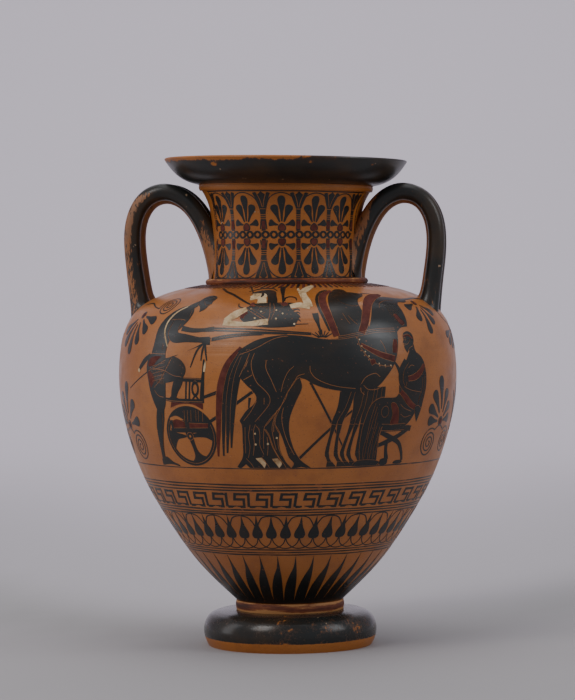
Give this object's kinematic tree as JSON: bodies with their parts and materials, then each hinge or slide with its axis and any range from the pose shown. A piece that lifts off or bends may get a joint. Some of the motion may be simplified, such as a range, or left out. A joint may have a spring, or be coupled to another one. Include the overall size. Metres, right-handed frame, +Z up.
{
  "type": "neck-amphora",
  "caption": "Two-handled ceramic neck-amphora: ovoid body, offset neck with raised ring, flaring mouth, disc foot and triple-rod handles, for storing and pouring liquid.",
  "frame": {"origin": "centre of the plane that the foot rests on", "axes": "+Z up along the wheel axis, +X towards the right handle seen from the front, -Y towards the front of the vessel"},
  "size_m": [0.2848, 0.2848, 0.41],
  "materials": {
    "clay": "burnished orange-red fired clay, satin",
    "black_slip": "glossy black fired slip with a faint green cast, worn at edges",
    "added_red": "matt dark red over slip or clay",
    "added_white": "matt cream-white over slip, flaking"
  },
  "bodies": {
    "root": {"foot": "black_slip", "foot_fillet": "added_red", "body_base": "clay", "body_lower_wall": "clay", "body_belly": "clay", "body_shoulder": "clay", "neck_ring": "added_red", "neck": "clay", "mouth": "black_slip", "left_handle_front_rod": "black_slip", "left_handle_middle_rod": "black_slip", "left_handle_back_rod": "black_slip", "right_handle_front_rod": "black_slip", "right_handle_middle_rod": "black_slip", "right_handle_back_rod": "black_slip"}
  },
  "joints": []
}
